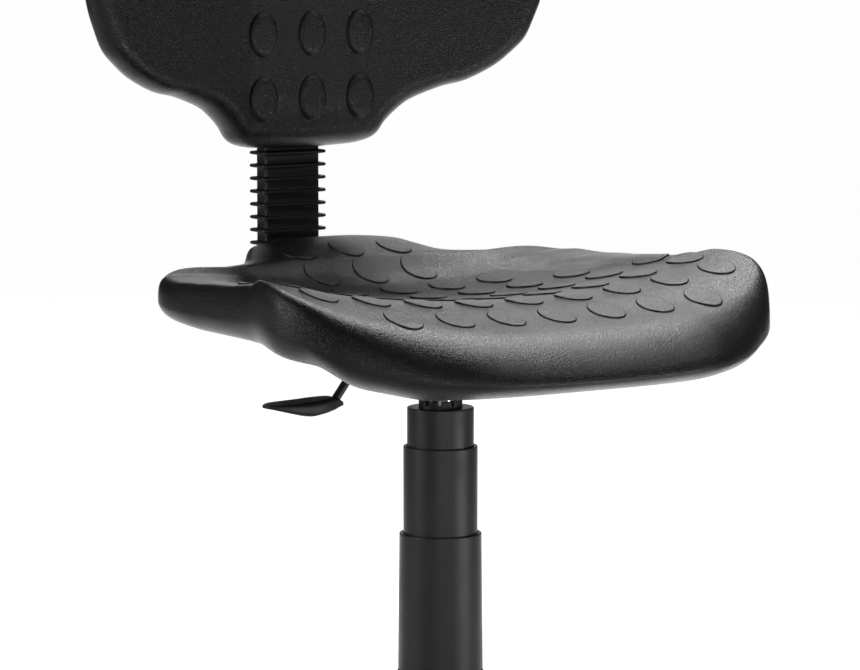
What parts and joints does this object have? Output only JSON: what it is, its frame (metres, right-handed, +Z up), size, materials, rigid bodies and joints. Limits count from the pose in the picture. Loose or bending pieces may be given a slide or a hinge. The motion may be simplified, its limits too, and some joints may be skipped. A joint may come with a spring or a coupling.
{
  "type": "office chair",
  "caption": "Swivel task chair with moulded black seat and backrest, ribbed sleeve on the back upright, telescopic column cover, height lever and a star base on castors.",
  "frame": {"origin": "on the floor, under the axis of the column", "axes": "+Z up, -Y to the front of the chair, +X to the chair's left"},
  "size_m": [0.6428, 0.6114, 0.873],
  "materials": {
    "pu_foam": "satin",
    "black_steel": "satin",
    "cover_plastic": "satin",
    "nylon": "matte",
    "wheel_nylon": "satin",
    "zinc_steel": "satin",
    "chromed_rod": "polished",
    "brass_pin": "satin",
    "acetal": "satin",
    "rubber": "matte",
    "plywood": "matte"
  },
  "bodies": {
    "base": {"star_base": "nylon", "hub_sleeve": "zinc_steel", "gas_outer_tube": "black_steel", "guide_bush": "acetal", "thrust_bearing": "zinc_steel", "shroud_lower": "cover_plastic"},
    "rod": {"piston_rod": "chromed_rod", "retaining_clip": "zinc_steel"},
    "cover_mid": {"shroud_mid": "cover_plastic"},
    "carriage": {"pressure_tube": "black_steel", "shroud_upper": "cover_plastic", "shroud_collar": "nylon", "mech_housing": "black_steel", "mounting_plate": "black_steel", "taper_socket": "black_steel", "seat_board": "plywood", "seat_bolts": "zinc_steel", "tee_nuts": "zinc_steel", "seat_pad": "pu_foam", "lever_pin": "zinc_steel", "lever_bracket": "zinc_steel", "back_pivot_pin": "zinc_steel", "torsion_bushes": "rubber", "back_stop": "rubber"},
    "lever": {"height_lever": "black_steel", "lever_paddle": "nylon"},
    "valve": {"valve_pin": "brass_pin"},
    "upright": {"back_bar": "black_steel", "bar_cap": "nylon", "bellows": "rubber"},
    "backrest": {"back_pad": "pu_foam", "back_board": "plywood", "back_carrier": "nylon", "carrier_screws": "zinc_steel"},
    "knob": {"back_knob": "nylon"},
    "castor_1": {"castor_1_hood": "nylon", "castor_1_pintle": "zinc_steel"},
    "castor_1_wheel_l": {"castor_1_wheel_l": "wheel_nylon"},
    "castor_1_wheel_r": {"castor_1_wheel_r": "wheel_nylon"},
    "castor_2": {"castor_2_hood": "nylon", "castor_2_pintle": "zinc_steel"},
    "castor_2_wheel_l": {"castor_2_wheel_l": "wheel_nylon"},
    "castor_2_wheel_r": {"castor_2_wheel_r": "wheel_nylon"},
    "castor_3": {"castor_3_hood": "nylon", "castor_3_pintle": "zinc_steel"},
    "castor_3_wheel_l": {"castor_3_wheel_l": "wheel_nylon"},
    "castor_3_wheel_r": {"castor_3_wheel_r": "wheel_nylon"},
    "castor_4": {"castor_4_hood": "nylon", "castor_4_pintle": "zinc_steel"},
    "castor_4_wheel_l": {"castor_4_wheel_l": "wheel_nylon"},
    "castor_4_wheel_r": {"castor_4_wheel_r": "wheel_nylon"},
    "castor_5": {"castor_5_hood": "nylon", "castor_5_pintle": "zinc_steel"},
    "castor_5_wheel_l": {"castor_5_wheel_l": "wheel_nylon"},
    "castor_5_wheel_r": {"castor_5_wheel_r": "wheel_nylon"}
  },
  "joints": [
    {"name": "swivel", "type": "hinge", "parent": "base", "child": "rod", "pos_m": [0, 0, 0.078], "axis": [0, 0, 1], "continuous": true},
    {"name": "seat_height", "type": "slide", "parent": "rod", "child": "carriage", "axis": [0, 0, 1], "range_m": [-0.06, 0.07]},
    {"name": "cover_slide", "type": "slide", "parent": "base", "child": "cover_mid", "axis": [0, 0, 1], "range_m": [-0.031, 0.036]},
    {"name": "height_lever", "type": "hinge", "parent": "carriage", "child": "lever", "pos_m": [-0.06, 0, 0.40244], "axis": [0, 1, 0], "range_deg": [0, 3], "stiffness_Nm_per_rad": 6, "springref_deg": -3.44},
    {"name": "valve_press", "type": "slide", "parent": "carriage", "child": "valve", "axis": [0, 0, -1], "range_m": [0, 0.0033]},
    {"name": "back_tilt", "type": "hinge", "parent": "carriage", "child": "upright", "pos_m": [0, 0.1, 0.398], "axis": [-1, 0, 0], "range_deg": [0, 12], "stiffness_Nm_per_rad": 60, "springref_deg": -14.32},
    {"name": "back_height", "type": "slide", "parent": "upright", "child": "backrest", "axis": [0, 0, 1], "range_m": [-0.03, 0.04], "deforming": ["bellows"]},
    {"name": "back_knob_turn", "type": "hinge", "parent": "backrest", "child": "knob", "pos_m": [0, 0.26, 0.655], "axis": [0, 1, 0], "continuous": true},
    {"name": "castor_1_swivel", "type": "hinge", "parent": "base", "child": "castor_1", "pos_m": [0, -0.285, 0.07], "axis": [0, 0, 1], "continuous": true},
    {"name": "castor_1_roll_l", "type": "hinge", "parent": "castor_1", "child": "castor_1_wheel_l", "pos_m": [0, -0.304, 0.025], "axis": [1, 0, 0], "continuous": true},
    {"name": "castor_1_roll_r", "type": "hinge", "parent": "castor_1", "child": "castor_1_wheel_r", "pos_m": [0, -0.304, 0.025], "axis": [1, 0, 0], "continuous": true},
    {"name": "castor_2_swivel", "type": "hinge", "parent": "base", "child": "castor_2", "pos_m": [0.27105, -0.08807, 0.07], "axis": [0, 0, 1], "continuous": true},
    {"name": "castor_2_roll_l", "type": "hinge", "parent": "castor_2", "child": "castor_2_wheel_l", "pos_m": [0.28912, -0.09394, 0.025], "axis": [0.309, 0.9511, 0], "continuous": true},
    {"name": "castor_2_roll_r", "type": "hinge", "parent": "castor_2", "child": "castor_2_wheel_r", "pos_m": [0.28912, -0.09394, 0.025], "axis": [0.309, 0.9511, 0], "continuous": true},
    {"name": "castor_3_swivel", "type": "hinge", "parent": "base", "child": "castor_3", "pos_m": [0.16752, 0.23057, 0.07], "axis": [0, 0, 1], "continuous": true},
    {"name": "castor_3_roll_l", "type": "hinge", "parent": "castor_3", "child": "castor_3_wheel_l", "pos_m": [0.17869, 0.24594, 0.025], "axis": [-0.809, 0.5878, 0], "continuous": true},
    {"name": "castor_3_roll_r", "type": "hinge", "parent": "castor_3", "child": "castor_3_wheel_r", "pos_m": [0.17869, 0.24594, 0.025], "axis": [-0.809, 0.5878, 0], "continuous": true},
    {"name": "castor_4_swivel", "type": "hinge", "parent": "base", "child": "castor_4", "pos_m": [-0.16752, 0.23057, 0.07], "axis": [0, 0, 1], "continuous": true},
    {"name": "castor_4_roll_l", "type": "hinge", "parent": "castor_4", "child": "castor_4_wheel_l", "pos_m": [-0.17869, 0.24594, 0.025], "axis": [-0.809, -0.5878, 0], "continuous": true},
    {"name": "castor_4_roll_r", "type": "hinge", "parent": "castor_4", "child": "castor_4_wheel_r", "pos_m": [-0.17869, 0.24594, 0.025], "axis": [-0.809, -0.5878, 0], "continuous": true},
    {"name": "castor_5_swivel", "type": "hinge", "parent": "base", "child": "castor_5", "pos_m": [-0.27105, -0.08807, 0.07], "axis": [0, 0, 1], "continuous": true},
    {"name": "castor_5_roll_l", "type": "hinge", "parent": "castor_5", "child": "castor_5_wheel_l", "pos_m": [-0.28912, -0.09394, 0.025], "axis": [0.309, -0.9511, 0], "continuous": true},
    {"name": "castor_5_roll_r", "type": "hinge", "parent": "castor_5", "child": "castor_5_wheel_r", "pos_m": [-0.28912, -0.09394, 0.025], "axis": [0.309, -0.9511, 0], "continuous": true}
  ],
  "couplings": [
    {"joint": "cover_slide", "follows": "seat_height", "ratio": 0.5},
    {"joint": "valve_press", "follows": "height_lever", "m_per_rad": 0.0597}
  ]
}
